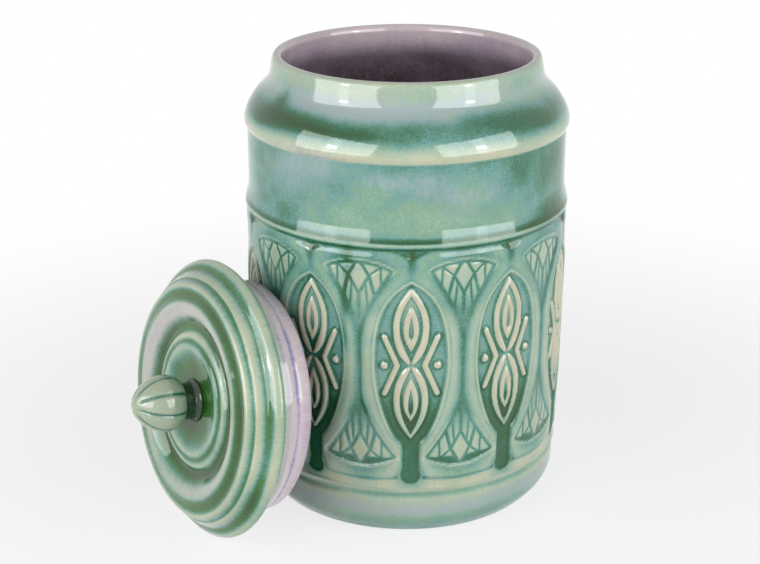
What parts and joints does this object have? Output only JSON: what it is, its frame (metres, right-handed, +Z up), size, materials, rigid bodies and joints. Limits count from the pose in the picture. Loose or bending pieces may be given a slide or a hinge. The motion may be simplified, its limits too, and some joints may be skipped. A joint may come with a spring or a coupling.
{
  "type": "ornate canister",
  "caption": "Cylindrical glazed ceramic canister with a moulded band of pointed-oval panels; its ringed lid with a bud knob is off and leans on the jar.",
  "frame": {"origin": "centre of the jar's flat base, on the surface that it stands on", "axes": "+Z up along the jar's axis; the lid leans on the jar's -X side; +Y follows by the right-hand rule"},
  "size_m": [0.2265, 0.1562, 0.218],
  "materials": {
    "jar_glaze": "glossy running green glaze, breaking cream on raised edges",
    "lid_glaze": "glossy running green glaze with a lavender flange",
    "knob_glaze": "glossy pale green glaze, dark in the grooves"
  },
  "bodies": {
    "jar": {"jar_body": "jar_glaze"},
    "lid": {"lid": "lid_glaze", "lid_knob": "knob_glaze"}
  },
  "joints": [
    {"name": "lid_lift", "type": "slide", "parent": "jar", "child": "lid", "axis": [-0.989, 0, 0.1478], "range_m": [0, 0.15]}
  ]
}
